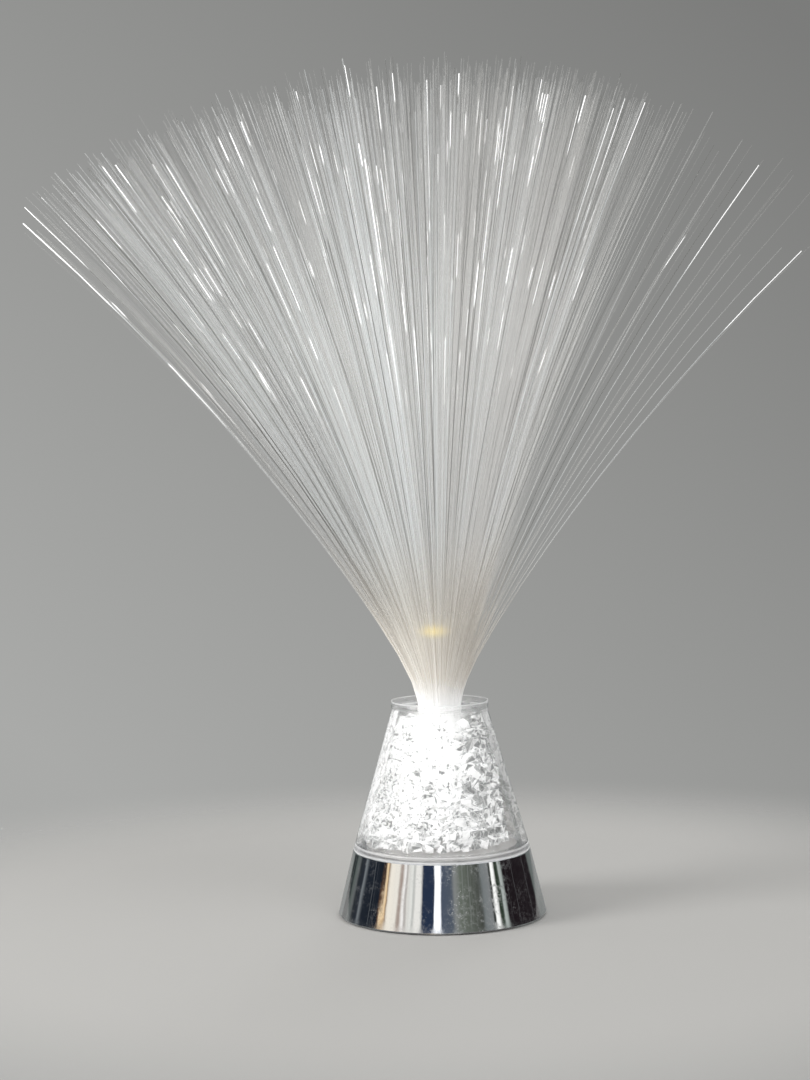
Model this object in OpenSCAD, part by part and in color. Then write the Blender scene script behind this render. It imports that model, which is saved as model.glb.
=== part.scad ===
// Battery-powered fibre optic lamp: a chrome base, a clear cone full of ice-like chips, and a
// spray of fibres that leaves the cone's top in one bundle.
// Z is up, the axis is x = y = 0, and the table is z = 0. All sizes are in millimetres.

/* [Base] */
// Outer radius of the chrome base at its foot
base_r = 40; // [39.5:0.5:46]
// Outer radius of the chrome base at its top edge
base_top_r = 33.9; // [33.5:0.1:38]
// Height of the chrome base's top edge above the table
base_h = 25.5; // [25:0.5:32]
// Wall of the chrome base
shell_wall = 1.8; // [1.2:0.1:2.2]
// Thickness of the chrome base's deck, which carries the clear cone
deck_t = 1.8; // [1.4:0.1:2.2]
// Gap between the table and the chrome base's lower edge
shell_lift = 0.5; // [0.3:0.1:0.8]
// Bevel on the chrome base's outer edges
shell_bevel = 0.5; // [0.2:0.1:0.8]

/* [Clear cone] */
// Height of the clear cone above the base
cone_h = 54; // [46:1:66]
// Outer radius of the clear cone at its top
cone_top_r = 18.2; // [17.6:0.1:20]
// Wall of the clear cone, measured level
cone_wall = 2.3; // [1.6:0.1:2.6]
// Height of the thick band at the clear cone's foot
band_h = 1.9; // [1.5:0.1:3]
// Width of the inward flange at the clear cone's foot
flange_w = 5; // [4:0.5:6]
// Depth of the groove above the band
groove_d = 0.5; // [0.3:0.1:0.8]
// Height of the groove above the band
groove_h = 0.6; // [0.4:0.1:1]

/* [Top cap] */
// How far the top cap stands out past the clear cone
cap_overhang = 0.4; // [0.2:0.1:1]
// Thickness of the top cap's plate
cap_t = 1.3; // [1:0.1:2]
// Height of the raised rim above the plate
cap_rim_h = 1.5; // [0.8:0.1:2.5]
// Width of the raised rim
cap_rim_w = 1.2; // [0.8:0.1:2]
// Depth of the spigot that locates the cap in the cone
cap_spigot_h = 2; // [1.5:0.5:3]
// Wall of the spigot and of the collar round the centre tube
cap_spigot_w = 1.1; // [0.8:0.1:1.4]

/* [Fibres] */
// Radius of the packed fibre bundle
bundle_r = 8.3; // [7.6:0.1:8.8]
// Length of each fibre past the backing that holds it
fibre_len = 246; // [200:2:280]
// Radius of one modelled strand at its root
strand_r = 0.3; // [0.2:0.02:0.32]
// Radius of one modelled strand at its tip
strand_tip_r = 0.24; // [0.16:0.02:0.3]
// Strands inside the outermost ring
inner_strands = 276; // [276:1:300]
// Strands in the outermost ring
ring_strands = 24; // [24:4:28]
// Slope of the outermost strands at their tips, from upright
max_bend = 52; // [30:1:54]
// Share of the tip's slope that a strand has at its root
root_bend_share = 0.44; // [0.3:0.02:0.6]
// How evenly the strands fan out on the full side of the spray
full_side = 0.98; // [0.8:0.01:1]
// How evenly the strands fan out on the sparse side of the spray
sparse_side = 0.48; // [0.4:0.01:0.9]
// How far out the strays start: the power of the root's share of the radius that bends them away
stray_power = 13; // [5:1:15]
// Thickness of the glued slice of bundle that holds the strands
slice_t = 1.8; // [1:0.1:3]
// Length of the sleeve that holds the bundle's lower end
ferrule_len = 12; // [8:1:20]
// Wall of the sleeve
ferrule_wall = 0.5; // [0.4:0.05:0.6]
// Wall of the centre tube
tube_wall = 0.8; // [0.6:0.1:1.2]

/* [Ice chips] */
// Thickness of the chamber floor
floor_t = 1.8; // [1.4:0.1:2.4]
// Height of the floor's collar round the centre tube
floor_collar_h = 2.4; // [1.5:0.1:4]
// Size of one chip, which sets how many fit
chip_size = 7.3; // [7:0.1:10]
// Smallest share of its cell that a chip's corner reaches
chip_reach = 0.62; // [0.5:0.02:0.8]

/* [Batteries] */
// Radius of one cell, as a share of the base's radius; three AA cells at 80 mm across
cell_r_share = 0.175; // [0.17:0.001:0.18]
// Length of one cell with its nub, as a share of the base's radius
cell_len_share = 1.25; // [1.23:0.005:1.26]
// Height of the base that the cells leave for what lies under and over them
beside_cells = 11.5; // [11.3:0.1:12]
// Length of a cell's nub
nub_h = 1; // [0.8:0.1:1.5]
// Radius of a cell's nub
nub_r = 2.7; // [2.4:0.1:3]
// Gap between two cells
cell_gap = 0.6; // [0.4:0.1:0.9]
// Length of a contact spring with the cells in
spring_len = 4.4; // [4:0.1:5]
// Radius of the spring wire
spring_wire_r = 0.3; // [0.25:0.05:0.4]
// Radius of a contact spring at its plate
spring_r = 4.8; // [4:0.1:5]
// Radius of a contact spring at its cell
spring_tip_r = 3; // [2.5:0.1:3.4]
// Thickness of a contact plate
contact_t = 0.4; // [0.3:0.05:0.6]
// Half width of a contact plate
contact_half = 4; // [3.5:0.1:4.4]
// Half height of a contact plate
contact_rise = 3.2; // [2.8:0.1:3.6]
// Wall of the battery box
box_wall = 1; // [0.8:0.1:1.3]

/* [Bottom] */
// Thickness of the bottom plate
plate_t = 1.6; // [1.4:0.1:2.2]
// Height of the feet
foot_h = 1; // [0.9:0.1:1.6]
// Radius of a foot
foot_r = 2.8; // [2:0.1:3]
// Thickness of the battery door
door_t = 1.4; // [1.2:0.1:1.6]
// Width of the door's finger latch
latch_w = 11; // [8:0.5:14]
// Length of the door's finger latch
latch_len = 9; // [6:0.5:12]
// Width of one hooked tab of the door
tab_w = 6; // [4:0.5:7]
// Distance between the centres of the door's tabs
tab_spacing = 14.6; // [12:0.2:18]
// Reach of a tab past the door's edge
tab_reach = 1.3; // [1:0.1:1.5]
// Thickness of a tab
tab_t = 0.9; // [0.7:0.1:1.1]
// Radius of a plate screw's shank
screw_r = 1.2; // [1:0.1:1.3]
// Radius of a plate screw's head
screw_head_r = 2.3; // [2:0.1:2.4]
// Thickness of a plate screw's head
screw_head_h = 1.1; // [0.9:0.1:1.3]
// Length of a plate screw under its head
screw_len = 8; // [6:0.5:12]
// Distance between the screws, left to right
screw_spacing = 21; // [20:0.5:24]

/* [Switch] */
// Length of the switch body
switch_len = 13; // [12:0.5:13.5]
// Width of the switch body
switch_w = 7; // [6.5:0.1:7.5]
// Height of the switch body
switch_h = 5.5; // [5:0.1:7]
// Travel of the slider
switch_travel = 3; // [2:0.5:4]
// Length of the slider's knob
knob_len = 3.6; // [3:0.1:4]
// Width of the slider's knob
knob_w = 2.6; // [2:0.1:3]
// How far the knob stands out below the bottom plate
knob_out = 0.4; // [0.2:0.1:0.6]

/* [Light] */
// Radius of the circuit board
board_r = 14; // [13.5:0.1:16]
// Thickness of the circuit board
board_t = 1.6; // [1:0.1:1.6]
// Height of the posts under the board
post_h = 1; // [0.6:0.1:1.2]
// Radius of one light's body
led_r = 2.5; // [2.2:0.05:2.6]
// Height of one light
led_h = 8.6; // [7:0.1:9]
// Distance of each light from the axis
led_ring = 3.5; // [3.4:0.05:4]
// Wall of the sleeve round the lights
holder_wall = 0.8; // [0.6:0.1:1]
// Radius of the leads
lead_r = 0.6; // [0.4:0.05:0.7]

/* [Clearances] */
// Gap between parts that slide together when assembled
fit_gap = 0.1; // [0.05:0.05:0.2]
// Gap round the battery door
door_gap = 0.3; // [0.2:0.05:0.4]
// Gap between the base's wall and what stands inside it
shell_gap = 0.3; // [0.2:0.05:0.4]
// Gap above and below the cells
cell_clear = 0.4; // [0.3:0.05:0.5]
// Gap between neighbouring parts on the bottom plate
plate_gap = 0.6; // [0.4:0.1:0.8]
// Gap round the ice chips
chip_gap = 0.3; // [0.2:0.05:0.5]

/* [Hidden] */

$fn = 96;
cut = 1; // how far a cutting shape runs past the face that it cuts

// Outer radius of the chrome base at height z
function base_r_at(z) =
    base_r - (base_r - base_top_r) * (z - shell_lift) / (base_h - shell_lift);
// Outer radius of the clear cone at height z
function cone_r_at(z) = base_top_r - (base_top_r - cone_top_r) * (z - base_h) / cone_h;

// Base radius that the cells are chosen for: a base that tapers more has room for smaller ones
cell_base_r = min(base_r, 1.18 * base_top_r);
cell_len = cell_len_share * cell_base_r;
cell_r = min(cell_r_share * cell_base_r, (base_h - beside_cells) / 2);

// Heights, from the table up
plate_z = foot_h;
plate_top = plate_z + plate_t;
cell_z = plate_z + door_t + cell_clear + cell_r;
roof_z = cell_z + cell_r + cell_clear;
roof_t = box_wall + 0.2;
roof_top = roof_z + roof_t;
board_z = roof_top + post_h;
board_top = board_z + board_t;
deck_z = base_h - deck_t;
floor_top = base_h + floor_t;
flange_top = floor_top + 0.2;
cone_top = base_h + cone_h;
led_top = board_top + led_h;
holder_top = led_top + 0.8;
ferrule_z = holder_top + fit_gap;
bundle_z = ferrule_z + 0.4;
slice_z = cone_top - 0.5;
exit_z = slice_z + slice_t;

// Radii, from the axis out
ferrule_r = bundle_r + fit_gap + ferrule_wall;
tube_in_r = ferrule_r + fit_gap;
tube_r = tube_in_r + tube_wall;
collar_in_r = tube_r + fit_gap;
deck_hole_r = ferrule_r + 3 * fit_gap;
cone_flange_r = base_top_r - flange_w;
cap_hole_r = bundle_r + 0.8;
plate_r = base_r_at(plate_top) - shell_wall - shell_gap;

// Battery box, with the cells side by side along x
cell_pitch = 2 * cell_r + cell_gap;
cell_dirs = [1, -1, 1];
cell_y = [-cell_pitch, 0, cell_pitch];
box_in_x = (cell_len + spring_len) / 2 + contact_t;
box_in_y = cell_pitch + cell_r + cell_clear;
box_out_x = box_in_x + box_wall;
box_out_y = box_in_y + box_wall;
contact_x = box_in_x - contact_t;

// Places on the bottom plate
boss_r = screw_head_r + 0.6;
boss_y = box_out_y + plate_gap + boss_r;
sleeve_top = plate_top + 1.2;
screw_spots = [for (x = [-1, 1], y = [-1, 1]) [x * screw_spacing / 2, y * boss_y]];
foot_ring_r = plate_r - foot_r - 1.2;
foot_angle = 57;
switch_y = -(box_out_y + plate_gap + switch_w / 2);
cavity_len = switch_len - 2;
cavity_w = switch_w - 2;
flange_len = knob_len + 1.6;
flange_h = 1.5;
post_spots = [for (a = [60, 180]) (board_r - 3) * [cos(a), sin(a)]];
post_r = 2.2;
board_screw_r = 0.8;
board_screw_head_r = 1.6;
board_screw_head_h = 1;
tab_z = plate_top + 0.2;

// Unit vector along v
function unit(v) = v / norm(v);
// Direction of a path at its point i
function heading(path, i) =
    unit(path[min(i + 1, len(path) - 1)] - path[max(i - 1, 0)]);

// Tube along a path of points, with a radius for each point. Side is a direction that the
// path never runs along.
module tube_along(path, radii, sides, side) {
    rings = [for (i = [0:len(path) - 1])
        let (t = heading(path, i), n = unit(cross(t, side)), b = cross(t, n))
        [for (k = [0:sides - 1])
            path[i] + radii[i] * (cos(360 * k / sides) * n + sin(360 * k / sides) * b)]];
    last = (len(path) - 1) * sides;
    walls = [for (i = [0:len(path) - 2], k = [0:sides - 1])
        let (a = i * sides + k, b = i * sides + (k + 1) % sides)
        each [[a, a + sides, b], [b, a + sides, b + sides]]];
    polyhedron([for (ring = rings) each ring],
        concat(walls, [[for (k = [0:sides - 1]) k]],
            [[for (k = [sides - 1:-1:0]) last + k]]));
}

// Ring with a rectangular section
module ring(r_in, r_out, z, h) {
    translate([0, 0, z]) difference() {
        cylinder(r = r_out, h = h);
        translate([0, 0, -cut]) cylinder(r = r_in, h = h + 2 * cut);
    }
}

// Box centred on the axis, from z up
module centred_box(x, y, z, h) {
    translate([-x, -y, z]) cube([2 * x, 2 * y, h]);
}

// Solid cone that follows the inside of the chrome base at a given distance from its outside
module base_core(inset) {
    translate([0, 0, shell_lift])
        cylinder(r1 = base_r - inset, r2 = base_top_r - inset, h = base_h - shell_lift);
}

// Base ---------------------------------------------------------------------------------

// Plated shell: a straight taper with a flat deck and four screw bosses under it
module chrome_base() {
    boss_z = sleeve_top;
    color("silver") difference() {
        union() {
            rotate_extrude() polygon([
                [base_r - shell_wall, shell_lift],
                [base_r - shell_bevel, shell_lift],
                [base_r_at(shell_lift + shell_bevel), shell_lift + shell_bevel],
                [base_r_at(base_h - shell_bevel), base_h - shell_bevel],
                [base_top_r - shell_bevel, base_h],
                [deck_hole_r, base_h],
                [deck_hole_r, deck_z],
                [base_r_at(deck_z) - shell_wall, deck_z]]);
            for (p = screw_spots)
                translate([p[0], p[1], boss_z])
                    cylinder(r = boss_r, h = deck_z + deck_t / 2 - boss_z);
        }
        for (p = screw_spots)
            translate([p[0], p[1], boss_z - cut])
                cylinder(r = screw_r + fit_gap / 2, h = screw_len + 2 * cut, $fn = 32);
    }
}

// Clear cone with a band and a groove at its foot and an inward flange on the deck
module clear_cone() {
    band_top = base_h + band_h;
    groove_top = band_top + groove_h;
    color([0.9, 0.93, 0.95, 0.35]) rotate_extrude() polygon([
        [cone_flange_r, base_h],
        [base_top_r, base_h],
        [cone_r_at(band_top), band_top],
        [cone_r_at(band_top) - groove_d, band_top],
        [cone_r_at(groove_top) - groove_d, groove_top],
        [cone_r_at(groove_top), groove_top],
        [cone_top_r, cone_top],
        [cone_top_r - cone_wall, cone_top],
        [cone_r_at(flange_top) - cone_wall, flange_top],
        [cone_flange_r, flange_top]]);
}

// Clear disc with a raised rim, a spigot in the cone's mouth and a collar round the tube
module top_cap() {
    cap_r = cone_top_r + cap_overhang;
    spigot_r = cone_top_r - cone_wall - fit_gap;
    color([0.9, 0.93, 0.95, 0.35]) {
        ring(cap_hole_r, cap_r, cone_top, cap_t);
        ring(cap_r - cap_rim_w, cap_r, cone_top + cap_t, cap_rim_h);
        ring(spigot_r - cap_spigot_w, spigot_r, cone_top - cap_spigot_h, cap_spigot_h);
        ring(collar_in_r, collar_in_r + cap_spigot_w, cone_top - cap_spigot_h, cap_spigot_h);
    }
}

// Disc on the deck, inside the cone's flange, with a collar that holds the centre tube
module chamber_floor() {
    color("white") {
        ring(deck_hole_r, cone_flange_r - fit_gap, base_h, floor_t);
        ring(collar_in_r, collar_in_r + cap_spigot_w, floor_top, floor_collar_h);
    }
}

// Ice chips ----------------------------------------------------------------------------

// One chip: a six-sided block in the cell between two radii, two angles and two heights.
// Each corner is drawn in towards the cell's middle by a share of its own, and every other
// corner only a little, so that neighbours nearly touch.
module chip(r_in, r_out_low, r_out_high, angle, step, z, h, seed) {
    r_mid = (2 * r_in + r_out_low + r_out_high) / 4;
    centre = [r_mid * cos(angle), r_mid * sin(angle), z + h / 2];
    far = rands(0.94, 1, 8, seed);
    near = rands(chip_reach, 0.94, 8, seed + 50000);
    share = [for (k = [0:7])
        (k % 2 + floor(k / 2) % 2 + floor(k / 4)) % 2 == 0 ? far[k] : near[k]];
    corners = [for (k = [0:7])
        let (upper = floor(k / 4),
             a = angle + (k % 2 == 0 ? -step / 2 : step / 2),
             r = floor(k / 2) % 2 == 0 ? r_in / cos(step / 2)
               : upper == 1 ? r_out_high : r_out_low,
             corner = [r * cos(a), r * sin(a), z + upper * h])
        centre + share[k] * (corner - centre)];
    polyhedron(corners, [
        [0, 2, 1], [1, 2, 3], [4, 5, 6], [5, 7, 6],
        [0, 1, 4], [1, 5, 4], [2, 6, 3], [3, 6, 7],
        [0, 4, 2], [2, 4, 6], [1, 3, 5], [3, 7, 5]]);
}

// Loose chips that fill the chamber, ring by ring and layer by layer
module crystals() {
    low = flange_top + chip_gap;
    high = cone_top - cap_spigot_h - chip_gap;
    layers = floor((high - low) / (chip_size * 0.95));
    layer_h = (high - low) / layers;
    chip_in_r = collar_in_r + cap_spigot_w + chip_gap;
    color([0.92, 0.95, 0.97, 0.6]) for (layer = [0:layers - 1]) {
        z = low + layer * layer_h;
        wall_low = cone_r_at(z) - cone_wall - chip_gap;
        wall_high = cone_r_at(z + layer_h) - cone_wall - chip_gap;
        width = (wall_low + wall_high) / 2 - chip_in_r;
        rings = max(1, round(width / (chip_size * 0.98)));
        for (k = [0:rings - 1]) {
            in_r = chip_in_r + (wall_high - chip_in_r) * k / rings + chip_gap / 2;
            last = k == rings - 1;
            out_low = last ? wall_low : chip_in_r + (wall_high - chip_in_r) * (k + 1) / rings;
            out_high = last ? wall_high : out_low;
            count = round(PI * (in_r + out_high) / chip_size);
            phase = rands(0, 360, 1, 31 * layer + k)[0];
            for (n = [0:count - 1])
                chip(in_r, out_low, out_high, phase + 360 * n / count,
                    360 / count - 1, z, layer_h - chip_gap, 1000 * layer + 100 * k + n);
        }
    }
}

// Fibres -------------------------------------------------------------------------------

module centre_tube() {
    color([0.9, 0.93, 0.95, 0.35]) ring(tube_in_r, tube_r, floor_top, cone_top - floor_top);
}

module fibre_ferrule() {
    color("white") ring(bundle_r + fit_gap, ferrule_r, ferrule_z, ferrule_len);
}

// Packed fibres from the lights up to the glued slice
module fibre_bundle() {
    color("whitesmoke") translate([0, 0, bundle_z]) cylinder(r = bundle_r, h = slice_z - bundle_z);
}

// Tip slope of a strand whose root lies at share u of the bundle's radius and at angle phi.
// It grows steadily with u, so strands never cross, and the sparse side lies towards +x.
function tip_slope(u, phi) =
    let (even = (full_side + sparse_side) / 2 - (full_side - sparse_side) / 2 * cos(phi))
    max_bend * (even * u + (1 - even) * pow(u, stray_power));

// Centre line of a strand: upright in the slice, then an arc that bends away from the axis
function strand_path(root_r, phi, slope, length) =
    let (start = root_bend_share * slope, turn = slope - start,
         flat = concat([[root_r, slice_z + slice_t / 2], [root_r, exit_z]],
             [for (s = [0.3, 0.65, 1])
                 let (chord = length * s * sin(turn * s / 2) / (turn * s / 2 * PI / 180),
                      way = start + turn * s / 2)
                 [root_r + chord * sin(way), exit_z + chord * cos(way)]]))
    [for (p = flat) [p[0] * cos(phi), p[0] * sin(phi), p[1]]];

module strand(root_r, phi, slope, length) {
    path = strand_path(root_r, phi, slope, length);
    radii = [for (i = [0:len(path) - 1])
        strand_r + (strand_tip_r - strand_r) * max(0, i - 1) / (len(path) - 2)];
    tube_along(path, radii, 3, [-sin(phi), cos(phi), 0]);
}

// The strands stand on a sunflower pattern inside one ring of outermost strands, whose four
// members on the x and y axes reach furthest and keep the spray centred.
module fibre_spray() {
    golden = 137.508;
    ring_root_r = bundle_r - strand_r - 0.1;
    inner_share = 1 - 2.4 * strand_r / ring_root_r;
    trims = rands(0, 0.05, inner_strands, 7);
    ring_trims = rands(0.01, 0.05, ring_strands, 11);
    color("white") union() {
        translate([0, 0, slice_z]) cylinder(r = bundle_r, h = slice_t);
        for (i = [0:inner_strands - 1]) {
            u = inner_share * sqrt((i + 0.5) / inner_strands);
            phi = i * golden;
            trim = i == 0 ? 0 : trims[i];
            strand(u * ring_root_r, phi, tip_slope(u, phi), fibre_len * (1 - trim));
        }
        for (i = [0:ring_strands - 1]) {
            on_axis = i % (ring_strands / 4) == 0;
            trim = on_axis ? 0 : ring_trims[i];
            strand(ring_root_r, 360 * i / ring_strands, max_bend * (1 - trim),
                fibre_len * (1 - trim));
        }
    }
}

// Light --------------------------------------------------------------------------------

// White sleeve round the lights, from the board up into the centre tube
module led_holder() {
    color("white") ring(ferrule_r - holder_wall, ferrule_r, board_top, holder_top - board_top);
}

module led_board() {
    color("darkgreen") difference() {
        translate([0, 0, board_z]) cylinder(r = board_r, h = board_t);
        for (p = post_spots)
            translate([p[0], p[1], board_z - cut])
                cylinder(r = board_screw_r + fit_gap, h = board_t + 2 * cut, $fn = 32);
    }
}

// Round-topped light with a flange at its foot, at one of three places on the board
module led(place, tint) {
    dome_z = led_h - led_r;
    translate([led_ring * cos(120 * place), led_ring * sin(120 * place), board_top])
        color(tint) rotate_extrude() polygon(concat(
            [[0, 0], [led_r + 0.4, 0], [led_r + 0.4, 1], [led_r, 1]],
            [for (a = [0:15:75]) [led_r * cos(a), dome_z + led_r * sin(a)]],
            [[0, led_h]]));
}

module red_led() led(0, "red");
module green_led() led(1, "green");
module blue_led() led(2, "blue");

module control_chip() {
    color("black") translate([ferrule_r + 0.6, -2.5, board_top]) cube([3.6, 5, 1.5]);
}

module resistors() {
    color("tan") for (a = [-155, -135, -115])
        rotate(a) translate([ferrule_r + 0.9, -0.8, board_top]) cube([3.2, 1.6, 0.6]);
}

module board_screws() {
    color("gray") for (p = post_spots) translate([p[0], p[1], board_top]) {
        cylinder(r = board_screw_head_r, h = board_screw_head_h, $fn = 32);
        translate([0, 0, -board_t - post_h - roof_t / 2])
            cylinder(r = board_screw_r, h = board_t + post_h + roof_t / 2 + 0.1, $fn = 32);
    }
}

// Bottom -------------------------------------------------------------------------------

// Plate that closes the base, with the battery box, the board's posts and the screw sleeves
module bottom_plate() {
    color("#26282b") difference() {
        union() {
            translate([0, 0, plate_z]) cylinder(r = plate_r, h = plate_t);
            intersection() {
                centred_box(box_out_x, box_out_y, plate_z + plate_t / 2,
                    roof_top - plate_z - plate_t / 2);
                base_core(shell_wall + shell_gap);
            }
            for (p = post_spots)
                translate([p[0], p[1], roof_z + roof_t / 2])
                    cylinder(r = post_r, h = post_h + roof_t / 2, $fn = 32);
            for (p = screw_spots)
                translate([p[0], p[1], plate_z]) cylinder(r = boss_r, h = sleeve_top - plate_z);
        }
        intersection() {
            centred_box(box_in_x, box_in_y, 0, roof_z);
            base_core(shell_wall + shell_gap + box_wall);
        }
        centred_box(box_in_x, box_in_y, 0, plate_top);
        for (y = [-1, 1])
            translate([-box_out_x - cut, y * tab_spacing / 2 - tab_w / 2 - door_gap, plate_top])
                cube([box_wall + 2 * cut, tab_w + 2 * door_gap, 3.4]);
        for (end = [-1, 1])
            translate([end > 0 ? contact_x - 0.2 : -box_in_x, end * cell_pitch - 1.8, roof_z - cut])
                cube([contact_t + 0.2, 3.6, roof_t + 2 * cut]);
        for (p = post_spots)
            translate([p[0], p[1], roof_z - cut])
                cylinder(r = board_screw_r + fit_gap / 2, h = post_h + roof_t + 2 * cut, $fn = 32);
        for (p = screw_spots) translate([p[0], p[1], plate_z - cut]) {
            cylinder(r = screw_head_r + fit_gap, h = screw_head_h + cut, $fn = 48);
            cylinder(r = screw_r + fit_gap, h = sleeve_top - plate_z + 2 * cut, $fn = 32);
        }
        translate([0, switch_y, 0])
            centred_box((knob_len + switch_travel) / 2 + door_gap, knob_w / 2 + door_gap,
                plate_z - cut, plate_t + 2 * cut);
    }
}

module plate_screws() {
    color("gray") for (p = screw_spots) translate([p[0], p[1], plate_z]) difference() {
        union() {
            cylinder(r = screw_head_r, h = screw_head_h, $fn = 48);
            cylinder(r = screw_r, h = screw_head_h + screw_len, $fn = 32);
        }
        for (a = [0, 90]) rotate(a) centred_box(screw_head_r * 0.6, 0.3, -cut, cut + 0.6);
    }
}

// Door flush with the plate. It hooks on two tabs at its left edge and has a finger latch
// between two slits at its right edge.
module battery_door() {
    door_x = box_in_x - door_gap;
    door_y = box_in_y - door_gap;
    color("#303236") union() {
        difference() {
            centred_box(door_x, door_y, plate_z, door_t);
            for (y = [-1, 1])
                translate([door_x - latch_len, y * latch_w / 2 - 0.3, plate_z - cut])
                    cube([latch_len + cut, 0.6, door_t + 2 * cut]);
            for (k = [0:2])
                translate([door_x - 2 - 1.6 * k, -latch_w / 2 + 1.5, plate_z - cut])
                    cube([0.8, latch_w - 3, cut + 0.4]);
        }
        for (y = [-1, 1]) translate([-door_x, y * tab_spacing / 2 - tab_w / 2, 0]) {
            translate([0, 0, plate_z + door_t / 2])
                cube([1.5, tab_w, tab_z + tab_t - plate_z - door_t / 2]);
            translate([-tab_reach, 0, tab_z]) cube([tab_reach + cut, tab_w, tab_t]);
        }
    }
}

// One cell, lying along x, with its nub towards dir
module cell(place) {
    dir = cell_dirs[place];
    translate([dir * contact_x, cell_y[place], cell_z]) rotate([0, -90 * dir, 0]) {
        color("goldenrod") cylinder(r = nub_r, h = nub_h + 0.2, $fn = 48);
        color("#3c4046") translate([0, 0, nub_h]) cylinder(r = cell_r, h = cell_len - nub_h);
    }
}

module battery_1() cell(0);
module battery_2() cell(1);
module battery_3() cell(2);

// Tapered contact spring: its wire's centre line, along x from the plate to the cell
spring_turns = 3;
spring_steps = 8;
spring_span = spring_len - 2 * spring_wire_r - 0.1;
spring_path = [for (i = [0:spring_turns * spring_steps])
    let (s = i / (spring_turns * spring_steps), r = spring_r + (spring_tip_r - spring_r) * s,
         a = 360 * i / spring_steps)
    [spring_wire_r + 0.05 + spring_span * s, r * cos(a), r * sin(a)]];
spring_least_gap = min([for (i = [0:len(spring_path) - 1],
        j = [i + spring_steps / 2:1:len(spring_path) - 1])
    norm(spring_path[i] - spring_path[j])]) - 2 * spring_wire_r;
echo(spring_least_gap = spring_least_gap);

module contact_springs() {
    color("silver") for (k = [0:2])
        translate([-cell_dirs[k] * contact_x, cell_y[k], cell_z])
            rotate(cell_dirs[k] > 0 ? 0 : 180)
                tube_along(spring_path, [for (p = spring_path) spring_wire_r], 6, [1, 0, 0]);
}

// Flat contacts: at each end one joins two cells and one ends in a tab for a lead
module contact_plates() {
    color("gainsboro") for (end = [-1, 1])
        translate([end > 0 ? contact_x : -box_in_x, 0, 0]) {
            single = end * cell_pitch;
            joined = end > 0 ? -cell_pitch : 0;
            translate([0, joined - contact_half, cell_z - contact_rise])
                cube([contact_t, cell_pitch + 2 * contact_half, 2 * contact_rise]);
            translate([0, single - contact_half, cell_z - contact_rise])
                cube([contact_t, 2 * contact_half, 2 * contact_rise]);
            translate([0, single - 1.5, cell_z])
                cube([contact_t, 3, roof_top + 2.2 - cell_z]);
        }
}

module feet() {
    color("#1c1c1c") for (a = [foot_angle, 180 - foot_angle, 180 + foot_angle, -foot_angle])
        rotate(a) translate([foot_ring_r, 0, 0]) cylinder(r = foot_r, h = foot_h);
}

// Switch -------------------------------------------------------------------------------

module switch_body() {
    color("lightgray") translate([0, switch_y, 0]) difference() {
        centred_box(switch_len / 2, switch_w / 2, plate_top, switch_h);
        centred_box(cavity_len / 2, cavity_w / 2, plate_top - cut, switch_h - 1 + cut);
    }
}

// Slider in its off position: a flange inside the body, and a knob through the plate
module switch_slider() {
    color("black") translate([-switch_travel / 2, switch_y, 0]) {
        centred_box(flange_len / 2, knob_w / 2 + 0.7, plate_top + 0.3, flange_h);
        centred_box(knob_len / 2, knob_w / 2, plate_z - knob_out,
            plate_t + knob_out + 0.3 + flange_h / 2);
    }
}

// Leads --------------------------------------------------------------------------------

tab_lead_z = roof_top + 1.2;
over_board = board_top + lead_r + 0.4;
switch_top = plate_top + switch_h;
red_route = [[contact_x, cell_pitch, tab_lead_z], [contact_x - 1.5, cell_pitch, tab_lead_z],
    [contact_x - 6, cell_pitch - 2, tab_lead_z + 0.6], [board_r + 3, 8, over_board],
    [board_r - 0.6, 6.4, over_board], [board_r - 2.2, 5.4, over_board],
    [board_r - 2.2, 5.4, board_top]];
black_route = [[-contact_x, -cell_pitch, tab_lead_z], [1.5 - contact_x, -cell_pitch, tab_lead_z],
    [-16, 4 - box_out_y, tab_lead_z], [-6, 2.5 - box_out_y, roof_top + 0.9],
    [-4, -box_out_y - 0.6, roof_top + 0.6], [-4, switch_y + 0.6, roof_top - 3],
    [-4, switch_y, switch_top + 2], [-4, switch_y, switch_top]];
switch_route = [[4, switch_y, switch_top], [4, switch_y, switch_top + 2],
    [4, switch_y + 0.6, roof_top - 3], [4, -box_out_y - 0.6, roof_top + 0.6],
    [3.6, 3 - box_out_y, over_board], [3, -board_r - 1, over_board],
    [2.6, 2.3 - board_r, over_board], [2.6, 2.3 - board_r, board_top]];

// One insulated wire along its route
module lead(route, side) tube_along(route, [for (p = route) lead_r], 8, side);

module lead_red() color("red") lead(red_route, [-0.6, 1, 0]);
module lead_black() color("#202020") lead(black_route, [0.45, 1, 0.4]);
module lead_switch() color("#202020") lead(switch_route, [1, 0.1, 0]);

chrome_base();
clear_cone();
top_cap();
chamber_floor();
crystals();
centre_tube();
fibre_ferrule();
fibre_bundle();
fibre_spray();
led_holder();
led_board();
red_led();
green_led();
blue_led();
control_chip();
resistors();
board_screws();
bottom_plate();
plate_screws();
battery_door();
battery_1();
battery_2();
battery_3();
contact_springs();
contact_plates();
switch_body();
switch_slider();
lead_red();
lead_black();
lead_switch();
feet();
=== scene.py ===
import math

import bpy
import numpy as np
from mathutils import Matrix, Vector


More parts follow.
